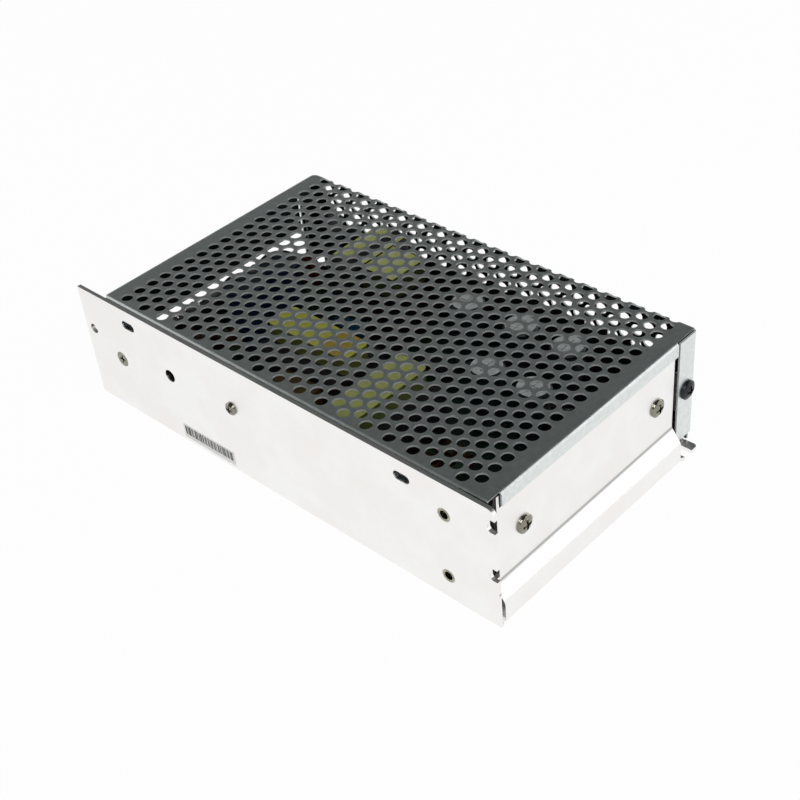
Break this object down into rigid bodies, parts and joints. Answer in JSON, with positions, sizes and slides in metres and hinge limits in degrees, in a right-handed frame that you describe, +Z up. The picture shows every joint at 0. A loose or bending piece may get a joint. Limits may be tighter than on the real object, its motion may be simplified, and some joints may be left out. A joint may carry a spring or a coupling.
{
  "type": "dc-dc converter",
  "caption": "Enclosed power converter: folded aluminium chassis, punched steel cover, circuit board and screw terminal block inside.",
  "frame": {"origin": "middle of the case footprint on the mounting surface (underside of the base)", "axes": "+X along the case to the closed end, -Y to the plain aluminium wall, +Z up through the punched cover"},
  "size_m": [0.199, 0.1122, 0.05],
  "materials": {
    "bare_aluminium": "bright mill finish, soft grain",
    "black_steel": "black oxide",
    "blue_box": "dipped epoxy",
    "board_laminate": "glass epoxy laminate with solder mask",
    "bobbin_plastic": "moulded phenolic, black",
    "can_sleeve": "shrunk sleeve with aluminium top",
    "clamp_steel": "nickel plated spring steel",
    "device_epoxy": "moulded epoxy with plated tab",
    "disc_epoxy": "dipped epoxy, dark red",
    "enamelled_copper": "enamelled copper wire",
    "ferrite": "sintered, dark grey",
    "film_box": "moulded box",
    "fuse_glass": "ceramic tube with plated caps",
    "galvanised_steel": "hot dip galvanised, fine spangle, punched",
    "heatsink_aluminium": "extruded",
    "insulating_film": "polyester film, matt",
    "lamp_epoxy": "clear tinted epoxy",
    "plated_brass": "nickel plated",
    "plated_steel": "zinc plated, bright",
    "ring_core": "epoxy coated powder core",
    "rotor_plastic": "moulded, off white",
    "shunt_alloy": "manganin strap",
    "silicone_pad": "silicone, light grey",
    "tape_green": "polyester tape, yellow green",
    "terminal_plastic": "moulded flame retardant nylon, black",
    "tinned_steel": "tin plated",
    "trimmer_plastic": "moulded, blue"
  },
  "bodies": {
    "converter": {"blue_capacitor": "blue_box", "board_screws": "plated_steel", "chassis": "bare_aluminium", "choke_a_carrier": "bobbin_plastic", "choke_a_coil": "tape_green", "choke_a_core": "ferrite", "choke_b_carrier": "bobbin_plastic", "choke_b_coil": "tape_green", "choke_b_core": "ferrite", "circuit_board": "board_laminate", "clamp_screw": "plated_steel", "control_chip": "device_epoxy", "countersunk_screw": "plated_steel", "cover": "galvanised_steel", "cover_screws": "black_steel", "current_shunt": "shunt_alloy", "device_nut": "plated_steel", "end_nuts": "plated_steel", "end_screws": "plated_steel", "film_capacitor": "film_box", "fuse": "fuse_glass", "fuse_clips": "clamp_steel", "heatsink": "heatsink_aluminium", "indicator_lamp": "lamp_epoxy", "input_capacitor_1": "can_sleeve", "input_capacitor_2": "can_sleeve", "input_ring_core": "ring_core", "input_ring_winding": "enamelled_copper", "input_transistor": "device_epoxy", "insulating_sheet": "insulating_film", "output_capacitor_1": "can_sleeve", "output_capacitor_2": "can_sleeve", "output_capacitor_3": "can_sleeve", "output_capacitor_4": "can_sleeve", "output_capacitor_5": "can_sleeve", "output_rectifier_1": "device_epoxy", "output_rectifier_2": "device_epoxy", "output_ring_core": "ring_core", "output_ring_winding": "enamelled_copper", "rectifier_screws": "plated_steel", "standoffs": "plated_brass", "switch_transistor_1": "device_epoxy", "switch_transistor_2": "device_epoxy", "terminal_housing": "terminal_plastic", "terminal_plates": "tinned_steel", "terminal_screws": "plated_steel", "thermal_pad_1": "silicone_pad", "thermal_pad_2": "silicone_pad", "transformer_base": "bobbin_plastic", "transformer_coil": "tape_green", "transformer_core": "ferrite", "transistor_clamp": "clamp_steel", "trimmer_body": "trimmer_plastic", "varistor": "disc_epoxy", "wall_inserts": "plated_brass"},
    "trimmer": {"trimmer_rotor": "rotor_plastic"}
  },
  "joints": [
    {"name": "trimmer_turn", "type": "hinge", "parent": "converter", "child": "trimmer", "pos_m": [-0.0926, 0.0376, 0.0125], "axis": [0, 0, 1], "range_deg": [-115, 115]}
  ]
}
